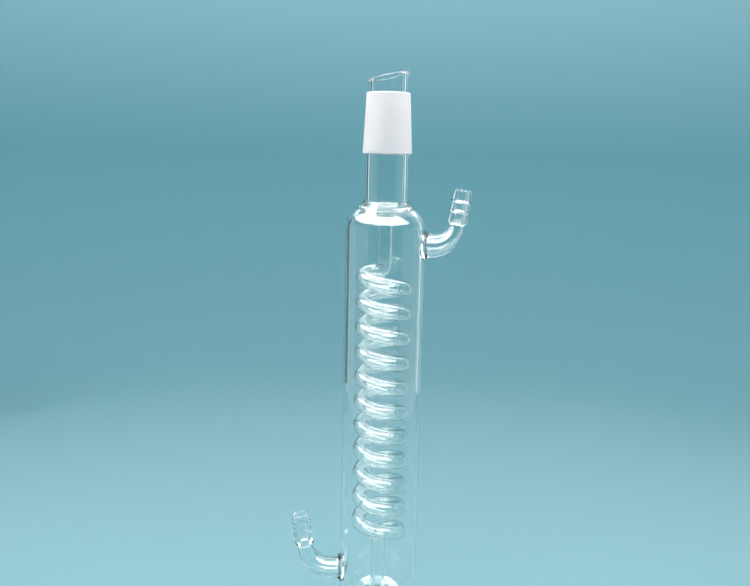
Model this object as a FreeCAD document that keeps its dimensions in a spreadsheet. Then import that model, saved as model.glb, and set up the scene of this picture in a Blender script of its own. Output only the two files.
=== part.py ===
import FreeCAD, Part
import math
import os
import re

import Sketcher
from FreeCAD import Placement, Rotation, Vector

# A Graham condenser, blown and fused into one piece of borosilicate glass. It stands on
# its socket: the origin is the centre of the socket's rim, +Z runs up the axis to the
# cone, and +X points at the upper hose arm. Lengths are millimetres, angles degrees.
SIZES = {
    # Ground joints, standard taper 24/29: a cone above and the same taper in the socket
    "joint_diameter": 24.0,
    "joint_length": 29.0,
    "joint_taper": 0.1,
    "ground_edge_round": 0.55,
    "cone_ledge": 1.0,
    # Socket
    "socket_wall": 2.4,
    "socket_run": 4.0,
    "socket_shoulder": 5.0,
    "socket_round": 2.4,
    "rim_round": 0.8,
    "mouth_round": 0.4,
    # Necks between the joints and the jacket
    "neck_wall": 2.3,
    "neck_fillet": 1.2,
    "lower_neck_length": 21.75,
    "upper_neck_length": 23.25,
    # Drip tip above the cone, cut off on a slope
    "tip_ledge": 0.65,
    "tip_wall": 2.4,
    "tip_length": 7.85,
    "tip_cut_slope": 12.4,
    "tip_cut_turn": 12.0,
    # Water jacket
    "jacket_diameter": 40.0,
    "jacket_wall": 2.2,
    "jacket_length": 214.0,
    "shoulder_height": 8.5,
    "shoulder_round": 10.5,
    # Ring seals, where each neck opens into a bowl inside the jacket
    "bowl_flare": 1.5,
    "bowl_taper": 4.3,
    "bowl_depth": 8.6,
    "bowl_wall": 1.7,
    "bowl_round": 1.6,
    "seal_fillet": 0.8,
    # Inner tube, straight from each bowl and coiled between
    "tube_diameter": 7.6,
    "tube_wall": 1.0,
    "tube_fillet": 1.6,
    "tube_stub": 4.0,
    "elbow_clearance": 0.8,
    "coil_clearance": 3.5,
    "coil_turns": 10.5,
    "coil_top_depth": 36.75,
    "coil_bottom_depth": 43.25,
    # Hose arms, drawn out of the jacket's wall
    "arm_setback": 4.6,
    "arm_root_diameter": 12.4,
    "arm_root_wall": 2.7,
    "arm_weld": 1.9,
    "arm_waist_diameter": 7.3,
    "upper_arm_stem": 3.45,
    "upper_arm_bend": 11.85,
    "upper_arm_lean": 8.2,
    "lower_arm_stem": 5.2,
    "lower_arm_bend": 13.5,
    "lower_arm_lean": 9.0,
    # Hose barb on each arm, sized from its tip
    "barb_bore": 4.9,
    "barb_tip_diameter": 8.5,
    "barb_valley_diameter": 8.7,
    "barb_ridge_diameter": 10.2,
    "barb_first_ridge": 5.9,
    "barb_ridge_pitch": 5.0,
    "barb_ridge_back": 0.8,
    "barb_land": 1.2,
    "barb_neck": 1.3,
    "barb_round": 0.35,
}

doc = FreeCAD.newDocument("graham_condenser")
sheet = doc.addObject("Spreadsheet::Sheet", "dims")
for row, (size_name, size_value) in enumerate(SIZES.items(), start=1):
    sheet.set(f"A{row}", size_name)
    sheet.set(f"B{row}", str(size_value))
    sheet.setAlias(f"B{row}", size_name)
doc.recompute()


def bound(formula):
    """A formula of size names, as an expression on the sheet's cells."""
    return re.sub(r"[a-z_]{2,}", lambda word: f"dims.{word[0]}" if word[0] in SIZES else word[0], formula)


def worth(formula):
    """The number that a formula of size names gives."""
    value = sheet.evalExpression(bound(formula))
    return float(getattr(value, "Value", value))


# Radii, as formulas of the sizes
JOINT_LARGE = "(joint_diameter / 2)"
JOINT_SMALL = "(joint_diameter / 2 - joint_taper * joint_length / 2)"
SOCKET_OUTER = f"({JOINT_LARGE} + socket_wall)"
NECK_OUTER = f"({JOINT_LARGE} - cone_ledge)"
NECK_BORE = f"({NECK_OUTER} - neck_wall)"
TIP_OUTER = f"({JOINT_SMALL} - tip_ledge)"
TIP_BORE = f"({TIP_OUTER} - tip_wall)"
JACKET_OUTER = "(jacket_diameter / 2)"
JACKET_BORE = f"({JACKET_OUTER} - jacket_wall)"
BOWL_OUTER = f"({NECK_OUTER} + bowl_flare)"
BOWL_BORE = f"({BOWL_OUTER} - bowl_wall)"
FLOOR_OUTER = f"({BOWL_OUTER} - bowl_taper)"
FLOOR_BORE = f"({FLOOR_OUTER} - bowl_wall / 2)"
TUBE_OUTER = "(tube_diameter / 2)"
TUBE_BORE = f"({TUBE_OUTER} - tube_wall)"
COIL_RADIUS = f"({JACKET_BORE} - coil_clearance - {TUBE_OUTER})"
ARM_ROOT = "(arm_root_diameter / 2)"

# Heights above the socket's rim: the jacket runs from its foot to its crown
SOCKET_TOP = "(joint_length + socket_run)"
FOOT = f"({SOCKET_TOP} + socket_shoulder + lower_neck_length)"
CROWN = f"({FOOT} + jacket_length)"
CONE_BASE = f"({CROWN} + upper_neck_length)"
CONE_TOP = f"({CONE_BASE} + joint_length)"
TIP_CENTRE = f"({CONE_TOP} + tip_length)"
TIP_BLANK = f"({TIP_CENTRE} + 2 * {TIP_OUTER})"
COIL_TOP = f"({CROWN} - coil_top_depth)"
COIL_BOTTOM = f"({FOOT} + coil_bottom_depth)"
STUB_DEPTH = "(bowl_depth + tube_stub)"
ARM_DEPTH = f"(shoulder_height + arm_setback + arm_weld + {ARM_ROOT})"

body = doc.addObject("PartDesign::Body", "condenser_glass")
body.Label = "condenser_glass"


def new_sketch(name, plane="XZ_Plane"):
    """An empty sketch on one of the body's origin planes."""
    sketch = body.newObject("Sketcher::SketchObject", name)
    origin_plane = next(f for f in body.Origin.OriginFeatures if f.Role == plane)
    sketch.AttachmentSupport = [(origin_plane, "")]
    sketch.MapMode = "FlatFace"
    return sketch


def fix_size(sketch, kind, where, formula):
    """A dimension of a sketch, bound to a formula."""
    index = sketch.addConstraint(Sketcher.Constraint(kind, *where, worth(formula)))
    sketch.setExpression(f"Constraints[{index}]", bound(formula))


def fix_point(sketch, point, across, up):
    """Ties a point of a sketch to two formulas, its distances from the sketch's axes."""
    for kind, axis, formula in (("DistanceX", -2, across), ("DistanceY", -1, up)):
        if formula == "0":
            sketch.addConstraint(Sketcher.Constraint("PointOnObject", *point, axis))
        elif worth(formula) > 0:
            fix_size(sketch, kind, (-1, 1, *point), formula)
        else:
            fix_size(sketch, kind, (*point, -1, 1), f"-({formula})")


def draw_outline(sketch, corners):
    """A closed outline of straight lines, with each corner tied to its two formulas."""
    points = [Vector(worth(across), worth(up), 0) for across, up in corners]
    for start, end in zip(points, points[1:] + points[:1]):
        sketch.addGeometry(Part.LineSegment(start, end))
    for line, (across, up) in enumerate(corners):
        sketch.addConstraint(Sketcher.Constraint("Coincident", (line - 1) % len(corners), 2, line, 1))
        fix_point(sketch, (line, 1), across, up)


def draw_rings(sketch, *radii):
    """Circles about a sketch's origin, bound to their formulas."""
    for ring, radius in enumerate(radii):
        sketch.addGeometry(Part.Circle(Vector(), Vector(0, 0, 1), worth(radius)))
        sketch.addConstraint(Sketcher.Constraint("Coincident", ring, 3, -1, 1))
        fix_size(sketch, "Radius", (ring,), radius)


def revolve(name, sketch):
    """A sketch turned once about its own upright axis."""
    turned = body.newObject("PartDesign::Revolution", name)
    turned.Profile = sketch
    turned.ReferenceAxis = (sketch, ["V_Axis"])
    turned.Angle = 360
    doc.recompute()
    return turned


def add_fillet(name, base, edges, radius):
    fillet = body.newObject("PartDesign::Fillet", name)
    fillet.Base = (base, edges)
    fillet.setExpression("Radius", bound(radius))
    doc.recompute()
    return fillet


def round_corners(name, base, sketch, radius, corners):
    """Rounds the rings that the given corners of a revolved sketch have left on the glass."""
    rings = []
    for across, up in corners:
        centre = sketch.Placement.multVec(Vector(0, worth(up), 0))
        for number, edge in enumerate(base.Shape.Edges, start=1):
            if isinstance(edge.Curve, Part.Circle):
                off = abs(edge.Curve.Radius - worth(across)) + edge.Curve.Center.distanceToPoint(centre)
                if off < Part.Precision.confusion() * 100:
                    rings.append(f"Edge{number}")
    if len(rings) < len(corners):
        raise RuntimeError(f"{name}: only {len(rings)} of {len(corners)} rings found")
    return add_fillet(name, base, rings, radius)


# Blown wall: one revolved outline holds the tip, the cone, both necks, the jacket, both
# ring seals with their bowls, and the socket. The water space is its closed inner ring,
# and the vapour way runs down the middle through the bowls' drains.

# The shoulder is a cone, so its inner side lies further below the outer one than the wall is thick
SHOULDER_SLOPE = f"(shoulder_height / ({JACKET_OUTER} - {NECK_OUTER}))"
SHOULDER_DROP = f"(jacket_wall * sqrt(1 + {SHOULDER_SLOPE} ^ 2))"


def shoulder_depth(radius):
    """How deep inside the jacket's end the shoulder's inner side lies at a radius."""
    return f"(({radius} - {NECK_OUTER}) * {SHOULDER_SLOPE} + {SHOULDER_DROP})"


def ring_seal(end, inward):
    """The corners of one ring seal, from the neck's bore round to the jacket's.

    end is the height where neck and jacket meet, and inward the sign toward the jacket's middle.
    """
    def at(radius, depth):
        return radius, f"({end} {inward} {depth})"

    brim = shoulder_depth(BOWL_OUTER)
    return {
        "throat": (NECK_BORE, end),
        "belly": at(BOWL_BORE, f"({brim} - bowl_wall / 2)"),
        "inner_floor": at(FLOOR_BORE, "(bowl_depth - bowl_wall)"),
        "inner_drain": at(TUBE_BORE, "(bowl_depth - bowl_wall)"),
        "bore_end": at(TUBE_BORE, STUB_DEPTH),
        "tube_end": at(TUBE_OUTER, STUB_DEPTH),
        "drain": at(TUBE_OUTER, "bowl_depth"),
        "floor": at(FLOOR_OUTER, "bowl_depth"),
        "seal": at(BOWL_OUTER, brim),
        "shoulder": at(JACKET_BORE, shoulder_depth(JACKET_BORE)),
    }


outside = {
    "rim": (SOCKET_OUTER, "0"),
    "socket_top": (SOCKET_OUTER, SOCKET_TOP),
    "socket_neck": (NECK_OUTER, f"{SOCKET_TOP} + socket_shoulder"),
    "foot": (NECK_OUTER, FOOT),
    "lower_shoulder": (JACKET_OUTER, f"{FOOT} + shoulder_height"),
    "upper_shoulder": (JACKET_OUTER, f"{CROWN} - shoulder_height"),
    "crown": (NECK_OUTER, CROWN),
    "cone_ledge": (NECK_OUTER, CONE_BASE),
    "cone_base": (JOINT_LARGE, CONE_BASE),
    "cone_top": (JOINT_SMALL, CONE_TOP),
    "tip_root": (TIP_OUTER, CONE_TOP),
    "tip_end": (TIP_OUTER, TIP_BLANK),
    "tip_bore_end": (TIP_BORE, TIP_BLANK),
    "tip_bore": (TIP_BORE, CONE_TOP),
    "neck_bore": (NECK_BORE, CONE_BASE),
}
upper_seal = ring_seal(CROWN, "-")
lower_seal = ring_seal(FOOT, "+")
socket_inside = {
    "lower_neck_bore": (NECK_BORE, f"{SOCKET_TOP} + socket_shoulder"),
    "ground_end": (JOINT_SMALL, "joint_length"),
    "mouth": (JOINT_LARGE, "0"),
}

wall_profile = new_sketch("wall_profile")
draw_outline(
    wall_profile,
    [
        *outside.values(),
        *upper_seal.values(),
        *reversed(lower_seal.values()),
        *socket_inside.values(),
    ],
)
glass = revolve("blown_wall", wall_profile)


def at_both_seals(*names):
    return [seal[name] for seal in (upper_seal, lower_seal) for name in names]


ROUNDINGS = {
    "shoulders": ("shoulder_round", [outside["upper_shoulder"], outside["lower_shoulder"]]),
    "shoulders_inside": ("shoulder_round - jacket_wall", at_both_seals("shoulder")),
    "neck_fillets": ("neck_fillet", [outside["crown"], outside["foot"]]),
    "socket_outside": ("socket_round", [outside["socket_top"], outside["socket_neck"]]),
    "socket_bore": ("socket_round", [socket_inside["ground_end"], socket_inside["lower_neck_bore"]]),
    "ground_edges": (
        "min(ground_edge_round; tip_ledge * 0.9; cone_ledge * 0.9)",
        [outside["cone_base"], outside["cone_top"]],
    ),
    "rim": ("rim_round", [outside["rim"]]),
    "mouth": ("mouth_round", [socket_inside["mouth"]]),
    "bowls": ("bowl_round", at_both_seals("throat", "belly", "inner_floor", "floor")),
    "tube_fillets": ("tube_fillet", at_both_seals("inner_drain", "drain")),
    "seals": ("seal_fillet", at_both_seals("seal")),
}
for rounding, (radius, corners) in ROUNDINGS.items():
    glass = round_corners(f"{rounding}_rounding", glass, wall_profile, radius, corners)


# Coil: a left-handed helix of the inner tube, swept from one bowl's stub to the other's.


def coil_lead():
    """The way from the coil's end in to the axis, as a wire, and the height it climbs.

    The coil ends at (coil radius, 0, 0). From there the tube keeps the coil's slope round
    a half turn that touches the coil's circle from inside, and an elbow turns it upright
    on the axis.
    """
    coil_radius = worth(COIL_RADIUS)
    elbow = worth(f"{TUBE_OUTER} + elbow_clearance")
    climb = worth(f"({COIL_TOP} - {COIL_BOTTOM}) / coil_turns") / (2 * math.pi * coil_radius)
    slope = math.atan(climb)
    offset = elbow * (1 - math.sin(slope))
    lead_radius = (coil_radius ** 2 - offset ** 2) / (2 * coil_radius)
    turn = math.pi / 2 + math.atan2(lead_radius, offset)
    rise = climb * lead_radius * turn
    centre = Vector(coil_radius - lead_radius, 0, 0)
    half_turn = Part.makeHelix(climb * 2 * math.pi * lead_radius, rise, lead_radius, 0, True)
    half_turn.translate(centre)

    meet = centre + Vector(math.cos(turn), -math.sin(turn), 0) * lead_radius + Vector(0, 0, rise)
    outward = Vector(meet.x, meet.y, 0).normalize()
    top = Vector(0, 0, rise + elbow * math.cos(slope))
    half = (math.pi / 2 - slope) / 2
    middle = top + outward * elbow * (1 - math.cos(half)) - Vector(0, 0, elbow * math.sin(half))
    return Part.Wire(half_turn.Edges + [Part.Arc(meet, middle, top).toShape()]), top.z


def coil_path():
    """The tube's centreline from stub to stub: line, elbow, half turn, coil and back to the axis."""
    bottom = worth(COIL_BOTTOM)
    top = worth(COIL_TOP)
    turns = worth("coil_turns")
    lead, rise = coil_lead()
    upper_lead = lead.copy()
    upper_lead.Placement = Placement(Vector(0, 0, top), Rotation(Vector(0, 0, 1), -360 * turns))
    lower_lead = lead.copy()
    lower_lead.Placement = Placement(Vector(0, 0, bottom), Rotation(Vector(1, 0, 0), 180))
    coil = Part.makeLongHelix((top - bottom) / turns, top - bottom, worth(COIL_RADIUS), 0, True)
    coil.translate(Vector(0, 0, bottom))
    upper_line = Part.makeLine(Vector(0, 0, top + rise), Vector(0, 0, worth(f"{CROWN} - {STUB_DEPTH}")))
    lower_line = Part.makeLine(Vector(0, 0, worth(f"{FOOT} + {STUB_DEPTH}")), Vector(0, 0, bottom - rise))
    edges = [lower_line, upper_line]
    for run in (lower_lead, coil, upper_lead):
        edges += run.Edges
    return Part.Wire(Part.__sortEdges__(edges))


centreline = doc.addObject("Part::Feature", "coil_centreline")
centreline.Shape = coil_path()
centreline.Placement = Placement()
spine = body.newObject("PartDesign::ShapeBinder", "coil_spine")
spine.Support = [(centreline, "")]

tube_section = new_sketch("tube_section", "XY_Plane")
tube_section.setExpression("AttachmentOffset.Base.z", bound(f"{FOOT} + {STUB_DEPTH}"))
draw_rings(tube_section, TUBE_OUTER, TUBE_BORE)
doc.recompute()

glass_before = glass.Shape.Volume
glass = body.newObject("PartDesign::AdditivePipe", "coil")
glass.Profile = tube_section
glass.Spine = (spine, [f"Edge{number + 1}" for number in range(len(spine.Shape.Edges))])
doc.recompute()

# A coil that had failed to join would leave the volume as it was or gain too much
tube_volume = centreline.Shape.Length * worth(f"pi * ({TUBE_OUTER} ^ 2 - {TUBE_BORE} ^ 2)")
if abs(glass.Shape.Volume - glass_before - tube_volume) > tube_volume / 1000:
    raise RuntimeError("the coil's glass isn't its section times its length")


# Hose arms: each is drawn out of the jacket's wall, tapers round an upward bend and ends
# in a hose barb. Both are cut open into the water space.
BARB_LENGTH = "(barb_neck + barb_land / 2 + 2 * barb_ridge_pitch + barb_first_ridge)"


def barb_corners():
    """The barb's outside from waist to tip: three ridges, of which the last is a round land."""
    corners = [
        ("arm_waist_diameter / 2", "0"),
        ("barb_ridge_diameter / 2", "barb_neck"),
        ("barb_ridge_diameter / 2", "barb_neck + barb_land"),
    ]
    for ridge in (1, 2):
        height = f"(barb_neck + barb_land / 2 + {ridge} * barb_ridge_pitch)"
        corners.append(("barb_valley_diameter / 2", f"{height} - barb_ridge_back"))
        corners.append(("barb_ridge_diameter / 2", height))
    corners.append(("barb_tip_diameter / 2", BARB_LENGTH))
    return corners


def weld_edges(shape, side, root):
    """The edges along which an arm's outside meets the jacket's."""
    jacket = worth(JACKET_OUTER)
    reach = worth(f"{ARM_ROOT} + arm_weld / 2")
    edges = []
    for number, edge in enumerate(shape.Edges, start=1):
        points = edge.discretize(9)
        on_jacket = all(abs(math.hypot(p.x, p.y) - jacket) < jacket / 1e4 for p in points)
        if on_jacket and all(p.x * side > 0 and math.hypot(p.y, p.z - root) < reach for p in points):
            edges.append(f"Edge{number}")
    return edges


def path_ring(name, path, edge, end, radius):
    """A ring square to an edge of an arm's path, at its start (0) or its end (1)."""
    ring = body.newObject("Sketcher::SketchObject", name)
    ring.AttachmentSupport = [(path, edge)]
    ring.MapMode = "NormalToEdge"
    ring.MapPathParameter = end
    draw_rings(ring, radius)
    return ring


def taper_pipe(kind, name, path, edges, start_ring, end_ring):
    """A pipe along a path whose section passes from one ring to another."""
    pipe = body.newObject(f"PartDesign::{kind}", name)
    pipe.Profile = start_ring
    pipe.Spine = (path, edges)
    pipe.Transformation = "Multisection"
    pipe.Sections = [(end_ring, [""])]
    doc.recompute()
    return pipe


def hose_arm(name, side, root):
    """One arm with its barb. side is 1 toward +X and -1 toward -X, root the height of its mouth."""
    stem, bend, lean = f"{name}_stem", f"{name}_bend", f"{name}_lean"
    mouth = f"({JACKET_BORE} - jacket_wall)"
    in_wall = f"(({JACKET_BORE} + sqrt({JACKET_OUTER} ^ 2 - {ARM_ROOT} ^ 2)) / 2)"
    bend_start = f"({JACKET_OUTER} + {stem})"
    waist_reach = f"({bend_start} + {bend} * cos({lean} * 1deg))"
    waist_height = f"({root} + {bend} * (1 - sin({lean} * 1deg)))"
    sign = "" if side > 0 else "-"
    bend_near, bend_far = (1, 2) if side > 0 else (2, 1)

    path = new_sketch(f"{name}_path")
    stations = [Vector(side * worth(across), worth(root), 0) for across in (mouth, in_wall, bend_start)]
    path.addGeometry(Part.LineSegment(stations[0], stations[1]))
    path.addGeometry(Part.LineSegment(stations[1], stations[2]))
    bend_circle = Part.Circle(stations[2] + Vector(0, worth(bend), 0), Vector(0, 0, 1), worth(bend))
    lean_angle = math.radians(worth(lean))
    if side > 0:
        path.addGeometry(Part.ArcOfCircle(bend_circle, -math.pi / 2, -lean_angle))
    else:
        path.addGeometry(Part.ArcOfCircle(bend_circle, math.pi + lean_angle, 1.5 * math.pi))
    path.addConstraint(Sketcher.Constraint("Coincident", 0, 2, 1, 1))
    path.addConstraint(Sketcher.Constraint("Coincident", 1, 2, 2, bend_near))
    fix_point(path, (0, 1), sign + mouth, root)
    fix_point(path, (1, 1), sign + in_wall, root)
    fix_point(path, (1, 2), sign + bend_start, root)
    fix_point(path, (2, bend_far), sign + waist_reach, waist_height)
    fix_size(path, "Radius", (2,), bend)
    doc.recompute()

    waist_end = 1 if side > 0 else 0
    root_ring = path_ring(f"{name}_root", path, "Edge2", 0, ARM_ROOT)
    waist_ring = path_ring(f"{name}_waist", path, "Edge3", waist_end, "arm_waist_diameter / 2")
    taper_pipe("AdditivePipe", name, path, ["Edge2", "Edge3"], root_ring, waist_ring)

    barb_profile = new_sketch(f"{name}_barb_profile")
    barb_profile.AttachmentOffset = Placement(Vector(), Rotation(Vector(0, 0, 1), -side * worth(lean)))
    barb_profile.setExpression("AttachmentOffset.Base.x", bound(sign + waist_reach))
    barb_profile.setExpression("AttachmentOffset.Base.y", bound(waist_height))
    barb_profile.setExpression("AttachmentOffset.Rotation.Angle", bound(f"{-side} * {lean}"))
    corners = barb_corners()
    draw_outline(barb_profile, [("barb_bore / 2", "0"), *corners, ("barb_bore / 2", BARB_LENGTH)])
    doc.recompute()
    barb = revolve(f"{name}_barb", barb_profile)
    barb = round_corners(f"{name}_barb_rounding", barb, barb_profile, "barb_round", corners[1:])
    add_fillet(f"{name}_weld", barb, weld_edges(barb.Shape, side, worth(root)), "arm_weld")

    mouth_ring = path_ring(f"{name}_bore_mouth", path, "Edge1", 0, f"{ARM_ROOT} - arm_root_wall")
    bore_ring = path_ring(f"{name}_bore_end", path, "Edge3", waist_end, "barb_bore / 2")
    taper_pipe("SubtractivePipe", f"{name}_bore", path, ["Edge1", "Edge2", "Edge3"], mouth_ring, bore_ring)


hose_arm("upper_arm", 1, f"({CROWN} - {ARM_DEPTH})")
hose_arm("lower_arm", -1, f"({FOOT} + {ARM_DEPTH})")


# Drip tip: cut off on a slope that is highest toward +X, turned a little toward -Y.
CUT_RISE = f"(2 * {TIP_OUTER} * tan(tip_cut_slope * 1deg))"
cut_profile = new_sketch("tip_cut_profile")
cut_profile.AttachmentOffset = Placement(Vector(), Rotation(Vector(0, 1, 0), -worth("tip_cut_turn")))
cut_profile.setExpression("AttachmentOffset.Rotation.Angle", bound("-tip_cut_turn"))
draw_outline(
    cut_profile,
    [
        (f"-2 * {TIP_OUTER}", f"{TIP_CENTRE} - {CUT_RISE}"),
        (f"2 * {TIP_OUTER}", f"{TIP_CENTRE} + {CUT_RISE}"),
        (f"2 * {TIP_OUTER}", f"{TIP_BLANK} + {CUT_RISE}"),
        (f"-2 * {TIP_OUTER}", f"{TIP_BLANK} + {CUT_RISE}"),
    ],
)
tip_cut = body.newObject("PartDesign::Pocket", "tip_cut")
tip_cut.Profile = cut_profile
tip_cut.Type = "ThroughAll"
tip_cut.SideType = "Symmetric"
doc.recompute()


failed = [thing.Name for thing in doc.Objects if {"Invalid", "Error"} & set(thing.State)]
if failed:
    raise RuntimeError(f"not built: {failed}")
if body.Shape.isNull() or not body.Shape.isValid() or len(body.Shape.Solids) != 1:
    raise RuntimeError("the glass isn't one valid solid")
os.makedirs("parts", exist_ok=True)
body.Shape.exportStep(f"parts/{body.Label}.step")
print(f"{body.Label}: {body.Shape.Volume:.1f} mm3, {len(body.Shape.Faces)} faces")
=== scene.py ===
import math

import bmesh
import bpy
from mathutils import Matrix, Vector


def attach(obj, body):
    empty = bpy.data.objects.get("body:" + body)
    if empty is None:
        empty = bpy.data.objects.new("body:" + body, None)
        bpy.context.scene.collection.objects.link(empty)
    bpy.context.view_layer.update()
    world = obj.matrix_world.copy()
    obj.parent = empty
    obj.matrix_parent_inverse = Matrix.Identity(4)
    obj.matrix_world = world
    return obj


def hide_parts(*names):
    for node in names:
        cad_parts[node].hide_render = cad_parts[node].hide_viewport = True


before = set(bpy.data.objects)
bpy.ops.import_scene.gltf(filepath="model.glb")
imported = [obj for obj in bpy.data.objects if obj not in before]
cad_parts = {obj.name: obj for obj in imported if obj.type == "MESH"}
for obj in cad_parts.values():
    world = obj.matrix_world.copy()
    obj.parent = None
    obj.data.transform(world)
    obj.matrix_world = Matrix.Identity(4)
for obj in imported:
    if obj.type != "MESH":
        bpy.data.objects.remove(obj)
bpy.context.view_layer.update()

# The blown wall is one tube of borosilicate glass, drawn and blown to shape at the lathe:
# socket, lower neck, water jacket, upper neck, cone and drip tip. Inside the jacket each
# neck opens into a bowl sealed to the shoulder, so the water space is closed all round.

# Sizes of the glass are in millimetres, with heights from the socket's rim
FOOT, CROWN = 59.75, 273.75
JACKET_OUTER, JACKET_BORE = 20.0, 17.8
SHOULDER, SHOULDER_ROUND = 8.5, 10.5
NECK_OUTER, NECK_BORE, NECK_FILLET = 11.0, 8.7, 1.2

# Standard taper 24/29, outside on the cone and inside in the socket
JOINT_WIDE, JOINT_NARROW, JOINT_LENGTH = 12.0, 10.55, 29.0
CONE_BASE, TIP_ROOT, TIP_CENTRE = 297.0, 326.0, 333.85
TIP_OUTER, TIP_BORE, TIP_EASE = 9.9, 7.5, 6.0
TIP_SLOPE, TIP_TURN = math.tan(math.radians(12.4)), math.radians(12.0)
LEAN_START = TIP_ROOT + 1.0
SOCKET_OUTER, SOCKET_SHOULDER, SOCKET_TOP, SOCKET_ROUND = 14.4, 33.0, 38.0, 2.4

# Coil tube, and the depth in the jacket at which it leaves a bowl's drain
TUBE_OUTER, TUBE_BORE, STUB = 3.8, 2.8, 12.6

# One ring seal as (radius, depth in the jacket, rounding): the bowl's inside and its water side
BOWL = [
    (TUBE_BORE, STUB, 0),
    (TUBE_BORE, 6.9, 1.6),
    (7.35, 6.9, 1.6),
    (10.8, 3.59, 1.6),
    (NECK_BORE, 0.0, 1.6),
]
SEAL = [
    (TUBE_OUTER, STUB, 0),
    (TUBE_OUTER, 8.6, 1.6),
    (8.2, 8.6, 1.6),
    (12.5, 4.44, 0.8),
    (JACKET_BORE, 9.45, 8.3),
]

# Ground zones as (lowest, highest, narrowest, widest)
CONE_ZONE = (297.02, 325.98, 10.2, 13.0)
SOCKET_ZONE = (0.5, 28.6, 10.0, 12.3)

# Each arm takes the place of a square window of cells, this many to each side of its root
ARM_DEPTH, ARM_CELLS, ARM_ROW = 21.2, 7, 1.16
UPPER_ARM_ROOT, LOWER_ARM_ROOT = CROWN - ARM_DEPTH, FOOT + ARM_DEPTH

# Vertices round the axis, and the three finishes in the order of the glass's material slots
SPOKES = 96
DRAWN, GROUND, BENT = 0, 1, 2

glass = bmesh.new()


def rounded_corner(before, corner, after, radius, step=12.0):
    """Points of the arc that rounds one corner of a profile, about a step of degrees apart."""
    corner = Vector(corner)
    back = Vector(before) - corner
    ahead = Vector(after) - corner
    half = back.angle(ahead) / 2
    reach = radius / math.tan(half)
    centre = corner + (back.normalized() + ahead.normalized()).normalized() * radius / math.sin(half)
    spoke = corner + back.normalized() * reach - centre
    sweep = (math.pi - 2 * half) * (-1 if back.x * ahead.y - back.y * ahead.x > 0 else 1)
    count = max(3, math.ceil(abs(math.degrees(sweep)) / step))
    return [centre + Matrix.Rotation(sweep * k / count, 2) @ spoke for k in range(count + 1)]


def turned_profile(corners, pitch=9.0, edge=0.25):
    """A profile of (radius, height) points through corners given as (radius, height, rounding).

    A run over six edges long gets a point an edge from each end and one about every pitch between.
    """
    bends = [[Vector(corners[0][:2])]]
    for before, corner, after in zip(corners, corners[1:], corners[2:]):
        if corner[2]:
            bends.append(rounded_corner(before[:2], corner[:2], after[:2], corner[2]))
        else:
            bends.append([Vector(corner[:2])])
    bends.append([Vector(corners[-1][:2])])
    points = list(bends[0])
    for bend in bends[1:]:
        run = bend[0] - points[-1]
        if run.length > 6 * edge:
            start = points[-1]
            inner = run.length - 2 * edge
            count = math.ceil(inner / pitch)
            points += [start + run.normalized() * (edge + inner * k / count) for k in range(count + 1)]
        points += bend
    return points


def arm_rows(radius):
    """Close rows of the jacket's wall where the arms are welded on, from the top down."""
    rows = range(ARM_CELLS, -ARM_CELLS - 1, -1)
    return [(radius, root + k * ARM_ROW, 0) for root in (UPPER_ARM_ROOT, LOWER_ARM_ROOT) for k in rows]


def wall_ring(point):
    """One ring of the wall's vertices. Above the cone it leans with the tip's sloping cut."""
    radius, height = point
    lean = max(0.0, (height - LEAN_START) / (TIP_CENTRE - LEAN_START))
    ring = []
    for spoke in range(SPOKES):
        angle = 2 * math.pi * spoke / SPOKES
        rise = lean * TIP_SLOPE * radius * math.cos(angle + TIP_TURN)
        ring.append(glass.verts.new((radius * math.cos(angle), radius * math.sin(angle), height + rise)))
    return ring


def in_arm_window(spoke, low, high):
    """Whether a cell of the jacket's wall is one that an arm takes the place of."""
    reach = ARM_CELLS * ARM_ROW + 0.001
    for root, middle in ((UPPER_ARM_ROOT, 0), (LOWER_ARM_ROOT, SPOKES // 2)):
        across = (spoke - middle + SPOKES // 2) % SPOKES - SPOKES // 2
        in_rows = root - reach < min(low, high) and max(low, high) < root + reach
        if -ARM_CELLS <= across < ARM_CELLS and in_rows:
            return True
    return False


def wall_skin(points, ground_zones=()):
    """The wall turned from a profile, open where the arms go. Returns its rings."""
    rings = [wall_ring(point) for point in points]
    for (low, start), (high, end) in zip(zip(rings, points), zip(rings[1:], points[1:])):
        on_jacket = abs(start[0] - end[0]) < 1e-6 and round(start[0], 3) in (JACKET_OUTER, JACKET_BORE)
        radius, height = (start + end) / 2
        ground = any(
            lowest <= height <= highest and narrowest <= radius <= widest
            for lowest, highest, narrowest, widest in ground_zones
        )
        for spoke in range(SPOKES):
            if on_jacket and in_arm_window(spoke, start[1], end[1]):
                continue
            n = (spoke + 1) % SPOKES
            face = glass.faces.new((low[spoke], low[n], high[n], high[spoke]))
            face.material_index = GROUND if ground else DRAWN
    return rings


def from_crown(radius, depth, rounding):
    """A corner of the upper ring seal, as a corner of the wall's profile."""
    return radius, CROWN - depth, rounding


def from_foot(radius, depth, rounding):
    """A corner of the lower ring seal, as a corner of the wall's profile."""
    return radius, FOOT + depth, rounding


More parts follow.
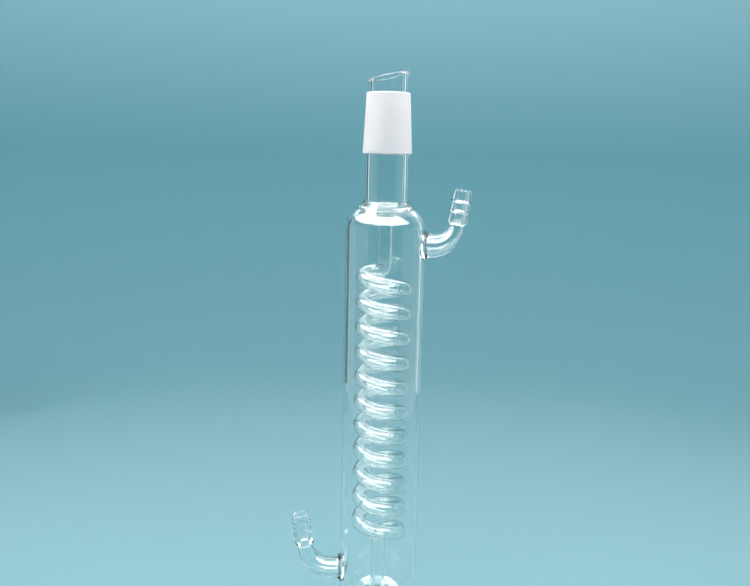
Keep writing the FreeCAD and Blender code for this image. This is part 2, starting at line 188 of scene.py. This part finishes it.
# Air side, from the coil's upper end out through the bowl, the neck and the tip, down the
# outside and back in through the socket to the coil's lower end
air_points = turned_profile(
    [
        *[from_crown(*corner) for corner in BOWL],
        (NECK_BORE, CONE_BASE, TIP_EASE),
        (TIP_BORE, TIP_ROOT, TIP_EASE),
        (TIP_BORE, TIP_CENTRE, 0.6),
        (TIP_OUTER, TIP_CENTRE, 0.6),
        (TIP_OUTER, TIP_ROOT, 0.1),
        (JOINT_NARROW, TIP_ROOT, 0.5),
        (JOINT_WIDE, CONE_BASE, 0.55),
        (NECK_OUTER, CONE_BASE, 0.35),
        (NECK_OUTER, CROWN, NECK_FILLET),
        (JACKET_OUTER, CROWN - SHOULDER, SHOULDER_ROUND),
        *arm_rows(JACKET_OUTER),
        (JACKET_OUTER, FOOT + SHOULDER, SHOULDER_ROUND),
        (NECK_OUTER, FOOT, NECK_FILLET),
        (NECK_OUTER, SOCKET_TOP, SOCKET_ROUND),
        (SOCKET_OUTER, SOCKET_SHOULDER, SOCKET_ROUND),
        (SOCKET_OUTER, 0.0, 0.8),
        (JOINT_WIDE, 0.0, 0.4),
        (JOINT_NARROW, JOINT_LENGTH, SOCKET_ROUND),
        (NECK_BORE, SOCKET_TOP, SOCKET_ROUND),
        *[from_foot(*corner) for corner in reversed(BOWL)],
    ]
)
air_rings = wall_skin(air_points, [CONE_ZONE, SOCKET_ZONE])

# Water side, the closed space between the jacket and the seals
water_points = turned_profile(
    [
        *[from_crown(*corner) for corner in SEAL],
        *arm_rows(JACKET_BORE),
        *[from_foot(*corner) for corner in reversed(SEAL)],
    ]
)
water_rings = wall_skin(water_points)


# The coil is a thinner tube of the same glass, wound hot round a mandrel into a left-handed
# helix. At each end it turns in to the axis and is fused to the drain of a bowl.
COIL_TURNS, COIL_RADIUS, COIL_TOP, COIL_BOTTOM = 10.5, 10.5, 237.0, 103.0
ELBOW = 4.6
TUBE_SIDES, TURN_STEPS, LEAD_STEPS, ELBOW_STEPS = 32, 48, 22, 8

# Points of the straight tube at each bowl, by their distance from its drain
DRAIN_POINTS = (0.6, 3.0, 6.0)


def coil_lead():
    """The way in from the coil's end at (coil radius, 0, 0) to the axis, which it reaches upright."""
    climb = (COIL_TOP - COIL_BOTTOM) / COIL_TURNS / (2 * math.pi * COIL_RADIUS)
    slope = math.atan(climb)
    offset = ELBOW * (1 - math.sin(slope))
    radius = (COIL_RADIUS**2 - offset**2) / (2 * COIL_RADIUS)
    turn = math.pi / 2 + math.atan2(radius, offset)
    way = []
    for k in range(1, LEAD_STEPS + 1):
        t = turn * k / LEAD_STEPS
        inward = COIL_RADIUS - radius + radius * math.cos(t)
        way.append(Vector((inward, -radius * math.sin(t), climb * radius * t)))
    outward = Vector((way[-1].x, way[-1].y, 0)).normalized()
    top = Vector((0, 0, way[-1].z + ELBOW * math.cos(slope)))
    for k in range(ELBOW_STEPS - 1, -1, -1):
        t = (math.pi / 2 - slope) * k / ELBOW_STEPS
        way.append(top + outward * ELBOW * (1 - math.cos(t)) - Vector((0, 0, ELBOW * math.sin(t))))
    return way


def coil_way():
    """The tube's centreline from the lower bowl's drain to the upper one's."""
    lead = coil_lead()
    lower = [Vector((p.x, -p.y, COIL_BOTTOM - p.z)) for p in reversed(lead)]
    upper = [Vector((-p.x, -p.y, COIL_TOP + p.z)) for p in lead]
    steps = round(COIL_TURNS * TURN_STEPS)
    helix = []
    for k in range(steps + 1):
        t = 2 * math.pi * COIL_TURNS * k / steps
        height = COIL_BOTTOM + (COIL_TOP - COIL_BOTTOM) * k / steps
        helix.append(Vector((COIL_RADIUS * math.cos(t), -COIL_RADIUS * math.sin(t), height)))
    below = [Vector((0, 0, FOOT + STUB + d)) for d in DRAIN_POINTS]
    above = [Vector((0, 0, CROWN - STUB - d)) for d in reversed(DRAIN_POINTS)]
    return below + lower + helix + upper + above


def tube_frames(way):
    """Sides and ups that follow a way without twisting, then turn evenly to end as they began."""
    ahead = [(b - a).normalized() for a, b in zip(way, way[1:])]
    along = [ahead[0]] + [(a + b).normalized() for a, b in zip(ahead, ahead[1:])] + [ahead[-1]]
    side = Vector((1, 0, 0))
    sides = [side]
    for a, b in zip(along, along[1:]):
        side = a.rotation_difference(b) @ side
        side = (side - b * side.dot(b)).normalized()
        sides.append(side)
    twist = math.atan2(sides[-1].y, sides[-1].x)
    count = len(way) - 1
    turned = [Matrix.Rotation(-twist * k / count, 3, d) @ s for k, (s, d) in enumerate(zip(sides, along))]
    return [(s, d.cross(s)) for s, d in zip(turned, along)]


def bent_skin(rings):
    """The skin of a bent tube: quads between rings that have the same number of vertices."""
    for low, high in zip(rings, rings[1:]):
        for k in range(len(low)):
            n = (k + 1) % len(low)
            glass.faces.new((low[k], low[n], high[n], high[k])).material_index = BENT


def coil_skin(way, frames, radius):
    """The coil's skin at a radius round its way. Returns its rings."""
    rings = []
    for point, (side, up) in zip(way, frames):
        ring = []
        for k in range(TUBE_SIDES):
            angle = 2 * math.pi * k / TUBE_SIDES
            ring.append(glass.verts.new(point + (side * math.cos(angle) + up * math.sin(angle)) * radius))
        rings.append(ring)
    bent_skin(rings)
    return rings


def fuse(tube_ring, bowl_ring):
    """Joins the end of the coil's tube to the finer ring of a bowl's drain."""
    share = SPOKES // TUBE_SIDES
    for k in range(TUBE_SIDES):
        arc = [bowl_ring[(share * k + n) % SPOKES] for n in range(share + 1)]
        glass.faces.new((tube_ring[k], *arc, tube_ring[(k + 1) % TUBE_SIDES]))


way = coil_way()
frames = tube_frames(way)
for radius, rings in ((TUBE_OUTER, water_rings), (TUBE_BORE, air_rings)):
    coil_rings = coil_skin(way, frames, radius)
    fuse(coil_rings[0], rings[-1])
    fuse(coil_rings[-1], rings[0])


# Each hose arm is drawn out of the jacket's wall, bent upward while soft and finished with
# a tooled hose barb of three ridges. Its root flares into the jacket, and its bore opens
# into the water space.
ARM_ROOT, ARM_WAIST, ARM_MOUTH, BARB_BORE = 6.0, 3.65, 4.2, 2.45
ARM_STEPS, TAPER = 22, 1.6

# Reach of a weld on the wall, on the arm above and below it, and on the arm at its sides
OUTER_WELD, INNER_WELD = (2.0, 3.2, 1.2), (1.8, 2.2, 2.2)

# Rings on the wall between the window's edge (0) and the weld (1), in the order of the skin
OUTER_PATCH, INNER_PATCH = (0.2, 0.45, 0.7, 0.9), (0.85, 0.6, 0.4, 0.2)

# Corners of the window's cells round an arm, as (cells across, cells up) from its root
SQUARE = (
    [(ARM_CELLS, k) for k in range(-ARM_CELLS, ARM_CELLS)]
    + [(k, ARM_CELLS) for k in range(ARM_CELLS, -ARM_CELLS, -1)]
    + [(-ARM_CELLS, k) for k in range(ARM_CELLS, -ARM_CELLS, -1)]
    + [(k, -ARM_CELLS) for k in range(-ARM_CELLS, ARM_CELLS)]
)

# The barb as (radius, height above the waist, rounding), up its ridges and back down its bore
BARB_RIDGE, BARB_VALLEY, BARB_TIP, BARB_LENGTH = 5.1, 4.3, 4.25, 17.8
BARB = turned_profile(
    [
        (ARM_WAIST, 0.0, 0),
        (ARM_WAIST, 0.55, 0.3),
        (BARB_RIDGE, 1.35, 0.45),
        (BARB_RIDGE, 2.5, 0.45),
        (BARB_VALLEY, 6.35, 0.35),
        (BARB_RIDGE, 6.9, 0.3),
        (BARB_VALLEY, 11.35, 0.35),
        (BARB_RIDGE, 11.9, 0.3),
        (BARB_TIP, BARB_LENGTH, 0.8),
        (BARB_BORE, BARB_LENGTH, 0.4),
        (BARB_BORE, 0.0, 0),
    ],
    pitch=3.0,
    edge=0.15,
)


def arm_direction(k):
    """Sideways and upward share of the direction to vertex k of a ring round an arm."""
    angle = -math.pi / 4 + 2 * math.pi * k / len(SQUARE)
    return math.cos(angle), math.sin(angle)


def arm_place(side, root, out, across, up):
    """A point of an arm given outward, sideways and upward from its root on the axis."""
    return Vector((side * out, side * across, root + up))


def weld_ring(side, root, wall, tube, spread, climb, crotch, share):
    """A ring of the weld that flares the arm's tube into the jacket's wall.

    The weld reaches out by spread on the wall, where share is 0. On the tube, where share is
    1, it reaches out by climb above and below the arm and by crotch at its sides.
    """
    foot = tube + spread
    ring = []
    for k in range(len(SQUARE)):
        across, up = arm_direction(k)
        on_wall = Vector((math.sqrt(wall**2 - (foot * across) ** 2), foot * across, foot * up))
        corner = Vector((math.sqrt(wall**2 - (tube * across) ** 2), tube * across, tube * up))
        on_tube = corner + Vector((crotch + (climb - crotch) * up**2, 0, 0))
        point = on_wall * (1 - share) ** 2 + corner * 2 * share * (1 - share) + on_tube * share**2
        ring.append(glass.verts.new(arm_place(side, root, *point)))
    return ring


def patch_ring(side, root, wall, foot, share):
    """A ring that lies on the jacket's wall between the square of cells (0) and the weld (1)."""
    ring = []
    for k, (cell_across, cell_up) in enumerate(SQUARE):
        across, up = arm_direction(k)
        cell_angle = 2 * math.pi * cell_across / SPOKES
        angle = cell_angle + (math.asin(foot * across / wall) - cell_angle) * share
        height = cell_up * ARM_ROW + (foot * up - cell_up * ARM_ROW) * share
        place = (wall * math.cos(angle), wall * math.sin(angle), height)
        ring.append(glass.verts.new(arm_place(side, root, *place)))
    return ring


def window_ring(side, root, rings, points, wall):
    """The jacket's own vertices round the cells that an arm takes the place of."""
    reach = ARM_ROW * (ARM_CELLS + 0.02)
    rows = {}
    for ring, (radius, height) in zip(rings, points):
        if abs(radius - wall) < 1e-6 and abs(height - root) < reach:
            rows[round((height - root) / ARM_ROW)] = ring
    middle = 0 if side > 0 else SPOKES // 2
    return [rows[up][(middle + across) % SPOKES] for across, up in SQUARE]


def arm_rings(side, root, bend_start, bend, sweep, start_out, start_radius, end_radius):
    """Rings round the arm's bend, from its straight stem to its waist."""
    whole = bend_start - start_out + bend * sweep
    rings = []
    for k in range(ARM_STEPS + 1):
        angle = sweep * k / ARM_STEPS
        share = (bend_start - start_out + bend * angle) / whole
        radius = start_radius + (end_radius - start_radius) * share**TAPER
        out = bend_start + bend * math.sin(angle)
        up = bend * (1 - math.cos(angle))
        ring = []
        for n in range(len(SQUARE)):
            across, rise = arm_direction(n)
            tilted_out = out - radius * rise * math.sin(angle)
            tilted_up = up + radius * rise * math.cos(angle)
            ring.append(glass.verts.new(arm_place(side, root, tilted_out, radius * across, tilted_up)))
        rings.append(ring)
    return rings


def barb_rings(side, root, bend_start, bend, sweep):
    """Rings of the barb's outside, its tip and its bore, from waist to waist."""
    waist = Vector((bend_start + bend * math.sin(sweep), 0, bend * (1 - math.cos(sweep))))
    along = Vector((math.cos(sweep), 0, math.sin(sweep)))
    upright = Vector((-math.sin(sweep), 0, math.cos(sweep)))
    rings = []
    for radius, height in BARB[1:-1]:
        ring = []
        for n in range(len(SQUARE)):
            across, rise = arm_direction(n)
            place = waist + along * height + Vector((0, radius * across, 0)) + upright * radius * rise
            ring.append(glass.verts.new(arm_place(side, root, *place)))
        rings.append(ring)
    return rings


def hose_arm(side, root, stem, bend, lean):
    """One arm with its barb, joined to the jacket's wall and open to the water space.

    Its straight stem goes out from the jacket on side 1 or -1, and its bend, a radius, stops
    short of upright by the lean in degrees.
    """
    bend_start = JACKET_OUTER + stem
    sweep = math.radians(90 - lean)
    outside = arm_rings(side, root, bend_start, bend, sweep, JACKET_OUTER, ARM_ROOT, ARM_WAIST)
    bore = arm_rings(side, root, bend_start, bend, sweep, JACKET_BORE, ARM_MOUTH, BARB_BORE)
    outer_foot, inner_foot = ARM_ROOT + OUTER_WELD[0], ARM_MOUTH + INNER_WELD[0]
    rings = [window_ring(side, root, air_rings, air_points, JACKET_OUTER)]
    rings += [patch_ring(side, root, JACKET_OUTER, outer_foot, share) for share in OUTER_PATCH]
    rings += [weld_ring(side, root, JACKET_OUTER, ARM_ROOT, *OUTER_WELD, k / 8) for k in range(9)]
    rings += outside
    rings += barb_rings(side, root, bend_start, bend, sweep)
    rings += bore[::-1]
    rings += [weld_ring(side, root, JACKET_BORE, ARM_MOUTH, *INNER_WELD, k / 6) for k in range(6, -1, -1)]
    rings += [patch_ring(side, root, JACKET_BORE, inner_foot, share) for share in INNER_PATCH]
    rings.append(window_ring(side, root, water_rings, water_points, JACKET_BORE))
    bent_skin(rings)


hose_arm(1, UPPER_ARM_ROOT, stem=3.45, bend=11.85, lean=8.2)
hose_arm(-1, LOWER_ARM_ROOT, stem=5.2, bend=13.5, lean=9.0)


# The finished glass is one closed skin. Drawn tube keeps faint draw lines and bent tube only
# slight waves, both fire-polished. The cone and the socket's inside are ground matt with grit
# while the piece turns.
MM = 0.001
REFRACTION = 1.473
CLEAR_GLASS, HAZY_GLASS = (0.985, 0.99, 0.985, 1), (0.955, 0.96, 0.955, 1)
PALE_FROST, GREY_FROST, RIM_PAINTED_HIGHLIGHT = (0.93, 0.83, 0.825, 1), (0.86, 0.775, 0.77, 1), (0.98, 0.95, 0.94, 1)

# Up to this far from the cone's middle the ground glass keeps its grey frost; past it the rims are painted
# white, a painted highlight of the light they catch, and the same painted white covers the socket's ground
# inside
CONE_MIDDLE, RIM_HIGHLIGHT_START = (CONE_BASE + TIP_ROOT) / 2, 13.9

# The jacket's wall is straight from this far inside its ends
STRAIGHT = 13.1

bmesh.ops.recalc_face_normals(glass, faces=glass.faces)
if glass.calc_volume(signed=True) < 0:
    bmesh.ops.reverse_faces(glass, faces=glass.faces)
bmesh.ops.scale(glass, vec=(MM, MM, MM), verts=glass.verts)
for face in glass.faces:
    face.smooth = True
condenser_mesh = bpy.data.meshes.new("condenser")
glass.to_mesh(condenser_mesh)
glass.free()


def true_normal(vertex):
    """A vertex's normal, exact on the jacket's straight wall, where the arms' patches are uneven."""
    x, y, z = vertex.co
    for wall, outward in ((JACKET_OUTER, 1), (JACKET_BORE, -1)):
        on_wall = abs(math.hypot(x, y) - wall / 1000) < 1e-7
        if on_wall and FOOT + STRAIGHT < z * 1000 < CROWN - STRAIGHT:
            return Vector((x, y, 0)).normalized() * outward
    return vertex.normal.copy()


def put_in_scene(name, data):
    """A new object in the scene, made of a mesh, a lamp or a camera."""
    thing = bpy.data.objects.new(name, data)
    bpy.context.scene.collection.objects.link(thing)
    return thing


condenser_mesh.normals_split_custom_set_from_vertices([true_normal(v) for v in condenser_mesh.vertices])
condenser = put_in_scene("condenser", condenser_mesh)

# The surface of worked glass: the relief of its draw lines and waves, and the haze of handling
worked_glass = bpy.data.node_groups.new("worked_glass", "ShaderNodeTree")
for label, value in (("Line Density", 900.0), ("Wave Density", 55.0), ("Line Share", 0.04)):
    socket = worked_glass.interface.new_socket(label, in_out="INPUT", socket_type="NodeSocketFloat")
    socket.default_value = value
for label in ("Height", "Haze"):
    worked_glass.interface.new_socket(label, in_out="OUTPUT", socket_type="NodeSocketFloat")


def add_node(tree, kind, settings=None, **inputs):
    """A node with some of its settings and inputs given. An input may be another node's output."""
    node = tree.nodes.new(kind)
    for name, value in (settings or {}).items():
        setattr(node, name, value)
    for name, value in inputs.items():
        socket = node.inputs[name.replace("_", " ")]
        if isinstance(value, bpy.types.NodeSocket):
            tree.links.new(value, socket)
        else:
            socket.default_value = value
    return node


def colour_mix(tree, share, start, end):
    """The colour output of a mix that goes from start, where share is 0, to end, where it is 1."""
    mix = add_node(tree, "ShaderNodeMix", {"data_type": "RGBA"}, Factor=share, A=start, B=end)
    return mix.outputs["Result"]


group_in = worked_glass.nodes.new("NodeGroupInput")
group_out = worked_glass.nodes.new("NodeGroupOutput")
spot = add_node(worked_glass, "ShaderNodeTexCoord").outputs["Object"]
drawn = add_node(worked_glass, "ShaderNodeMapping", Vector=spot, Scale=(1.0, 1.0, 0.03)).outputs["Vector"]
lines = add_node(worked_glass, "ShaderNodeTexNoise", Vector=drawn, Detail=3.0)
waves = add_node(worked_glass, "ShaderNodeTexNoise", Vector=spot, Detail=1.0)
worked_glass.links.new(group_in.outputs["Line Density"], lines.inputs["Scale"])
worked_glass.links.new(group_in.outputs["Wave Density"], waves.inputs["Scale"])
relief = add_node(worked_glass, "ShaderNodeMix", A=waves.outputs["Fac"], B=lines.outputs["Fac"])
worked_glass.links.new(group_in.outputs["Line Share"], relief.inputs["Factor"])
smears = add_node(worked_glass, "ShaderNodeTexNoise", Vector=spot, Scale=140.0, Detail=6.0, Roughness=0.65)
haze = add_node(worked_glass, "ShaderNodeMapRange", Value=smears.outputs["Fac"], From_Min=0.52, From_Max=0.8)
worked_glass.links.new(relief.outputs["Result"], group_out.inputs["Height"])
worked_glass.links.new(haze.outputs["Result"], group_out.inputs["Haze"])


def new_material(name, mesh):
    """A new material in the mesh's next slot, and its Principled shader."""
    material = bpy.data.materials.new(name)
    material.use_nodes = True
    mesh.materials.append(material)
    return material, material.node_tree.nodes["Principled BSDF"]


def glass_material(name, **values):
    """The tree, the worked glass's group and the shader of a new material of the condenser."""
    material, shader = new_material(name, condenser_mesh)
    shader.inputs["IOR"].default_value = REFRACTION
    worked = add_node(material.node_tree, "ShaderNodeGroup", {"node_tree": worked_glass}, **values)
    return material.node_tree, worked, shader


def polished_finish(tree, worked, shader, relief):
    """Clear fire-polished glass, with faint haze where it has been handled."""
    tint = colour_mix(tree, worked.outputs["Haze"], CLEAR_GLASS, HAZY_GLASS)
    bump = add_node(tree, "ShaderNodeBump", Height=worked.outputs["Height"], Strength=1.0, Distance=relief)
    polish = add_node(tree, "ShaderNodeMapRange", Value=worked.outputs["Haze"], To_Min=0.0, To_Max=0.035)
    shader.inputs["Transmission Weight"].default_value = 1.0
    tree.links.new(tint, shader.inputs["Base Color"])
    tree.links.new(polish.outputs["Result"], shader.inputs["Roughness"])
    tree.links.new(bump.outputs["Normal"], shader.inputs["Normal"])


def ground_finish(tree, worked, shader):
    """Frosted glass with a fine grain and scratches round the axis, and a white painted highlight on the
    cone's rims.
    """
    spot = add_node(tree, "ShaderNodeTexCoord").outputs["Object"]
    turning = add_node(tree, "ShaderNodeMapping", Vector=spot, Scale=(0.06, 0.06, 1.0)).outputs["Vector"]
    grain = add_node(tree, "ShaderNodeTexNoise", Vector=spot, Scale=3500.0, Detail=4.0, Roughness=0.7)
    scratches = add_node(tree, "ShaderNodeTexNoise", Vector=turning, Scale=2600.0, Detail=5.0)
    matt = add_node(tree, "ShaderNodeMix", Factor=0.45, A=grain.outputs["Fac"], B=scratches.outputs["Fac"])
    cloud = add_node(tree, "ShaderNodeMix", Factor=0.5, A=matt.outputs["Result"], B=worked.outputs["Haze"])
    frost = colour_mix(tree, cloud.outputs["Result"], PALE_FROST, GREY_FROST)
    height = add_node(tree, "ShaderNodeSeparateXYZ", Vector=spot).outputs["Z"]
    # Past this far from the cone's middle the frost gives way to painted white: a painted highlight on the
    # rims
    inside_rim_highlights = add_node(tree, "ShaderNodeMath", {"operation": "COMPARE"}, Value=height)
    inside_rim_highlights.inputs[1].default_value = CONE_MIDDLE * MM
    inside_rim_highlights.inputs[2].default_value = RIM_HIGHLIGHT_START * MM
    white = colour_mix(tree, inside_rim_highlights.outputs["Value"], RIM_PAINTED_HIGHLIGHT, frost)
    rub = add_node(tree, "ShaderNodeMapRange", Value=matt.outputs["Result"], To_Min=0.5, To_Max=0.75)
    bump = add_node(tree, "ShaderNodeBump", Height=matt.outputs["Result"], Strength=0.6, Distance=0.00004)
    shader.inputs["Transmission Weight"].default_value = 0.15
    shader.inputs["Sheen Weight"].default_value = 1.0
    shader.inputs["Sheen Roughness"].default_value = 0.25
    tree.links.new(white, shader.inputs["Base Color"])
    tree.links.new(rub.outputs["Result"], shader.inputs["Roughness"])
    tree.links.new(bump.outputs["Normal"], shader.inputs["Normal"])


polished_finish(*glass_material("drawn_borosilicate", Line_Share=0.04), relief=0.00003)
ground_finish(*glass_material("ground_borosilicate"))
polished_finish(*glass_material("bent_borosilicate", Wave_Density=40.0, Line_Share=0.0), relief=0.00001)

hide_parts("condenser_glass")
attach(condenser, "root")


# The stage is a round sweep of pale blue-green paper: a floor that curves up into a wall all
# the way round. It is bluest where the wall begins, and towards the wall's top it is painted paler,
# a painted brightening for the light that falls off up the wall. From here on, sizes and places are in
# metres.
FLOOR_CENTRE, FLOOR_EDGE, CURVE, WALL_TOP = 0.05, 0.7, 0.4, 1.6
PAPER_SIDES = 96
# The third paper colour is painted light: a brightening for the wall's top, where the lamps' light falls off
PAPER_NEAR, PAPER_FAR, PAPER_PAINTED_LIGHT = (0.24, 0.43, 0.48, 1), (0.20, 0.43, 0.485, 1), (0.45, 0.69, 0.76, 1)

profile = [(FLOOR_CENTRE, 0.0), (FLOOR_EDGE, 0.0)]
for degrees in range(10, 91, 10):
    angle = math.radians(degrees)
    profile.append((FLOOR_EDGE + CURVE * math.sin(angle), CURVE - CURVE * math.cos(angle)))
profile.append((FLOOR_EDGE + CURVE, WALL_TOP))

paper_sheet = bmesh.new()
rings = []
for radius, height in profile:
    ring = []
    for k in range(PAPER_SIDES):
        angle = 2 * math.pi * k / PAPER_SIDES
        ring.append(paper_sheet.verts.new((radius * math.cos(angle), radius * math.sin(angle), height)))
    rings.append(ring)
for low, high in zip(rings, rings[1:]):
    for k in range(PAPER_SIDES):
        n = (k + 1) % PAPER_SIDES
        paper_sheet.faces.new((low[k], low[n], high[n], high[k])).smooth = True
paper_sheet.faces.new(rings[0])
paper_mesh = bpy.data.meshes.new("paper_sweep")
paper_sheet.to_mesh(paper_mesh)
paper_sheet.free()
paper = put_in_scene("paper_sweep", paper_mesh)

pale_paper, shader = new_material("pale_paper", paper_mesh)
tree = pale_paper.node_tree
spot = add_node(tree, "ShaderNodeTexCoord").outputs["Object"]
level = add_node(tree, "ShaderNodeVectorMath", {"operation": "MULTIPLY"}, Vector=spot)
level.inputs[1].default_value = (1, 1, 0)
reach = add_node(tree, "ShaderNodeVectorMath", {"operation": "LENGTH"}, Vector=level.outputs["Vector"])
far = add_node(tree, "ShaderNodeMapRange", Value=reach.outputs["Value"], From_Min=0.46, From_Max=1.08)
shade = colour_mix(tree, far.outputs["Result"], PAPER_NEAR, PAPER_FAR)
height = add_node(tree, "ShaderNodeSeparateXYZ", Vector=spot).outputs["Z"]
# Paler towards the wall's top: a painted brightening that stands in for light falling off up there
high = add_node(tree, "ShaderNodeMapRange", Value=height, From_Min=0.3, From_Max=0.6)
tone_and_painted_light = colour_mix(tree, high.outputs["Result"], shade, PAPER_PAINTED_LIGHT)
tree.links.new(tone_and_painted_light, shader.inputs["Base Color"])
shader.inputs["Roughness"].default_value = 0.9


# Soft studio light. A box above and three small ones close by, at the sides and in front, give
# the plain light on the paper and the ground glass. The others only show in the glass: a box
# high behind, a low board on each side, and white strips behind its edges.
PLAIN_LIGHT, GLINT_LIGHT = (1.0, 0.955, 0.93), (1.0, 0.97, 0.96)
BEHIND = 180
STRIP_DISTANCE, STRIP_HEIGHT, STRIP_LENGTH = 0.62, 0.4, 0.8


def at_azimuth(degrees, distance, height):
    """A place round the glass. 0 degrees is in front, and positive angles are toward +X."""
    angle = math.radians(degrees)
    return distance * math.sin(angle), -distance * math.cos(angle), height


def face_axis(thing, place, aim):
    """Puts a lamp or a card at a place and turns it to face a height on the glass's axis."""
    thing.location = place
    thing.rotation_euler = (Vector((0, 0, aim)) - Vector(place)).to_track_quat("-Z", "Y").to_euler()


def softbox(name, place, aim, size, power, sees=("glossy", "transmission")):
    """A rectangular lamp that the camera doesn't show. It lights only what sees names."""
    lamp = bpy.data.lights.new(name, "AREA")
    lamp.shape = "RECTANGLE"
    lamp.size, lamp.size_y = size
    lamp.energy = power
    lamp.color = PLAIN_LIGHT if "diffuse" in sees else GLINT_LIGHT
    box = put_in_scene(name, lamp)
    face_axis(box, place, aim)
    box.visible_camera = False
    box.visible_diffuse = "diffuse" in sees
    box.visible_glossy = "glossy" in sees
    box.visible_transmission = "transmission" in sees


softbox("box_above", (0.0, -0.1, 1.2), aim=0.2, size=(0.6, 0.6), power=7.0, sees=("diffuse",))
for name, azimuth in (("fill_left", -80), ("fill_right", 80)):
    place = at_azimuth(azimuth, 0.45, 0.5)
    softbox(name, place, aim=0.28, size=(0.3, 0.4), power=1.5, sees=("diffuse",))
place = at_azimuth(-15, 0.5, 0.5)
softbox("fill_front", place, aim=0.3, size=(0.3, 0.3), power=0.45, sees=("diffuse",))
softbox("high_back", at_azimuth(BEHIND, 0.5, 0.74), aim=0.2, size=(1.0, 0.5), power=2.0)
for name, azimuth in (("low_left", -79), ("low_right", 79)):
    place = at_azimuth(azimuth, 0.52, 0.18)
    softbox(name, place, aim=0.18, size=(0.62, 0.36), power=0.75, sees=("glossy",))
for name, azimuth, width, power in (
    ("strip_left", BEHIND + 53, 0.06, 0.14),
    ("strip_right", BEHIND - 50, 0.09, 0.19),
    ("strip_right_inner", BEHIND - 25, 0.05, 0.045),
):
    place = at_azimuth(azimuth, STRIP_DISTANCE, STRIP_HEIGHT)
    softbox(name, place, aim=STRIP_HEIGHT, size=(width, STRIP_LENGTH), power=power)


# The canopy is a white lit cloth bent round the front and the left, above the glass. It is there
# for its reflection alone, the white on the bowls and along the coil.
CANOPY_RADIUS, CANOPY_CENTRE, CANOPY_GLOW = 0.85, 0.17, 13.0
ELEVATIONS, AZIMUTHS = range(34, 75, 5), range(-125, 81, 5)

rows = []
for elevation in ELEVATIONS:
    tilt = math.radians(elevation)
    distance = CANOPY_RADIUS * math.cos(tilt)
    height = CANOPY_CENTRE + CANOPY_RADIUS * math.sin(tilt)
    rows.append([at_azimuth(azimuth, distance, height) for azimuth in AZIMUTHS])
wide = len(rows[0])
cells = []
for r in range(len(rows) - 1):
    for k in range(wide - 1):
        corner = r * wide + k
        cells.append((corner, corner + 1, corner + wide + 1, corner + wide))
canopy_mesh = bpy.data.meshes.new("canopy")
canopy_mesh.from_pydata([point for row in rows for point in row], [], cells)
canopy = put_in_scene("canopy", canopy_mesh)
canopy.visible_camera = canopy.visible_diffuse = canopy.visible_shadow = False

lit_cloth, shader = new_material("lit_cloth", canopy_mesh)
lit_cloth.cycles.emission_sampling = "NONE"
shader.inputs["Base Color"].default_value = (0, 0, 0, 1)
shader.inputs["Emission Color"].default_value = (1.0, 0.92, 0.905, 1)
shader.inputs["Emission Strength"].default_value = CANOPY_GLOW


# The dark card stands behind the glass on the left, out of the camera's sight. The glass bends
# it into the dark line along the jacket's left edge.
CARD_HALF_WIDTH, CARD_HALF_LENGTH, CARD_HEIGHT = 0.07, 0.4, 0.41

corners = [(x * CARD_HALF_WIDTH, y * CARD_HALF_LENGTH, 0) for x, y in ((-1, -1), (1, -1), (1, 1), (-1, 1))]
card_mesh = bpy.data.meshes.new("dark_card")
card_mesh.from_pydata(corners, [], [(0, 1, 2, 3)])
card = put_in_scene("dark_card", card_mesh)
face_axis(card, at_azimuth(BEHIND + 42.5, STRIP_DISTANCE, CARD_HEIGHT), CARD_HEIGHT)
card.visible_camera = card.visible_diffuse = card.visible_shadow = False

dark_card, shader = new_material("dark_card", card_mesh)
shader.inputs["Base Color"].default_value = (0.015, 0.02, 0.025, 1)
shader.inputs["Roughness"].default_value = 0.9


# The room round the stage is an even pale grey. It fills the shadows a little and shows in the
# glass above the paper.
world = bpy.data.worlds.new("room")
world.use_nodes = True
background = world.node_tree.nodes["Background"]
background.inputs["Color"].default_value = (0.9, 0.9, 0.9, 1)
background.inputs["Strength"].default_value = 0.7
bpy.context.scene.world = world


# The camera stands level with the cone's foot and looks down, as in the photograph.
LOOK_DOWN, ROLL = 9.5, 1.25

camera = put_in_scene("camera", bpy.data.cameras.new("camera"))
camera.data.lens = 40.0
camera.data.sensor_width = 36.0
camera.data.clip_start = 0.01
camera.location = (-0.0045, -0.4116, 0.297)
camera.rotation_mode = "QUATERNION"
tilt = Matrix.Rotation(math.radians(90 - LOOK_DOWN), 4, "X")
look = tilt @ Matrix.Rotation(math.radians(ROLL), 4, "Z")
camera.rotation_quaternion = look.to_quaternion()
bpy.context.scene.camera = camera
bpy.context.scene.view_settings.view_transform = "Standard"

# Light bends many times on its way through the walls of glass
bpy.context.scene.cycles.max_bounces = 32
bpy.context.scene.cycles.transmission_bounces = 32
bpy.context.scene.cycles.glossy_bounces = 8
